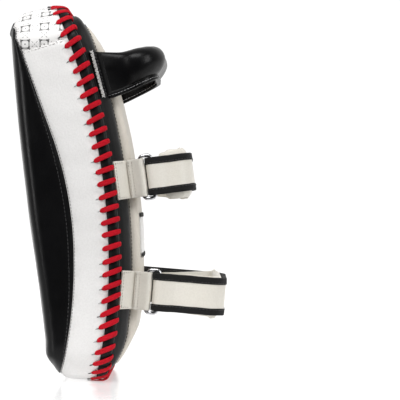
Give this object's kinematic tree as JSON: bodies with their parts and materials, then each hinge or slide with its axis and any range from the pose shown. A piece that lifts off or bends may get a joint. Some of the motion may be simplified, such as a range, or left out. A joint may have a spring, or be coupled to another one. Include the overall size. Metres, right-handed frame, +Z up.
{
  "type": "thai pad",
  "caption": "Curved, padded striking target with laced leather cover, raised forearm panel, top grip handle and hook-and-loop arm straps.",
  "frame": {"origin": "on the flat foot that the pad stands on, midway across the width", "axes": "+X across the pad towards the ring side, -Y out of the striking face, +Y out of the back, +Z up towards the handle end"},
  "size_m": [0.196, 0.22, 0.381],
  "materials": {
    "black_leather": "glossy coated leather",
    "back_leather": "satin coated leather",
    "white_leather": "glossy coated leather",
    "cream_leather": "satin coated leather",
    "red_lace": "waxed cord",
    "black_webbing": "woven binding tape",
    "white_thread": "heavy thread",
    "steel": "polished plated wire",
    "foam": "closed-cell foam",
    "loop_pile": "loop pile",
    "hook_tape": "hook tape",
    "patch_leather": "plain patch"
  },
  "bodies": {
    "pad": {"front_cover": "black_leather", "side_gusset": "white_leather", "top_gusset": "white_leather", "impact_foam": "foam", "middle_foam": "foam", "dense_foam": "foam", "edge_binding": "back_leather", "lace": "red_lace", "back_cover": "back_leather", "back_foam": "foam", "forearm_panel": "cream_leather", "forearm_foam": "foam", "plain_patch": "patch_leather", "handle_cover": "back_leather", "handle_core": "foam", "handle_hem": "back_leather", "handle_feet": "back_leather", "handle_foot_stitching": "white_thread", "upper_ring_tab": "cream_leather", "upper_strap": "cream_leather", "upper_strap_edging": "black_webbing", "upper_base_strap": "loop_pile", "upper_cuff": "cream_leather", "upper_cuff_foam": "foam", "lower_ring_tab": "cream_leather", "lower_strap": "cream_leather", "lower_strap_edging": "black_webbing", "lower_base_strap": "loop_pile", "lower_cuff": "cream_leather", "lower_cuff_foam": "foam"},
    "upper_ring_body": {"upper_ring": "steel"},
    "upper_tongue_body": {"upper_tongue": "cream_leather", "upper_tongue_edging": "black_webbing", "upper_hook_patch": "hook_tape"},
    "lower_ring_body": {"lower_ring": "steel"},
    "lower_tongue_body": {"lower_tongue": "cream_leather", "lower_tongue_edging": "black_webbing", "lower_hook_patch": "hook_tape"}
  },
  "joints": [
    {"name": "upper_tongue_peel", "type": "hinge", "parent": "pad", "child": "upper_tongue_body", "pos_m": [-0.0724, 0.0989, 0.21074], "axis": [0, 0.1305, -0.9914], "range_deg": [0, 125]},
    {"name": "upper_ring_swing", "type": "hinge", "parent": "pad", "child": "upper_ring_body", "pos_m": [0.07, 0.06762, 0.20663], "axis": [0, -0.1305, 0.9914], "range_deg": [-5, 5]},
    {"name": "lower_tongue_peel", "type": "hinge", "parent": "pad", "child": "lower_tongue_body", "pos_m": [-0.0724, 0.13124, 0.08648], "axis": [0, -0.0837, -0.9965], "range_deg": [0, 125]},
    {"name": "lower_ring_swing", "type": "hinge", "parent": "pad", "child": "lower_ring_body", "pos_m": [0.07, 0.0729, 0.09138], "axis": [0, 0.0837, 0.9965], "range_deg": [-5, 5]}
  ]
}
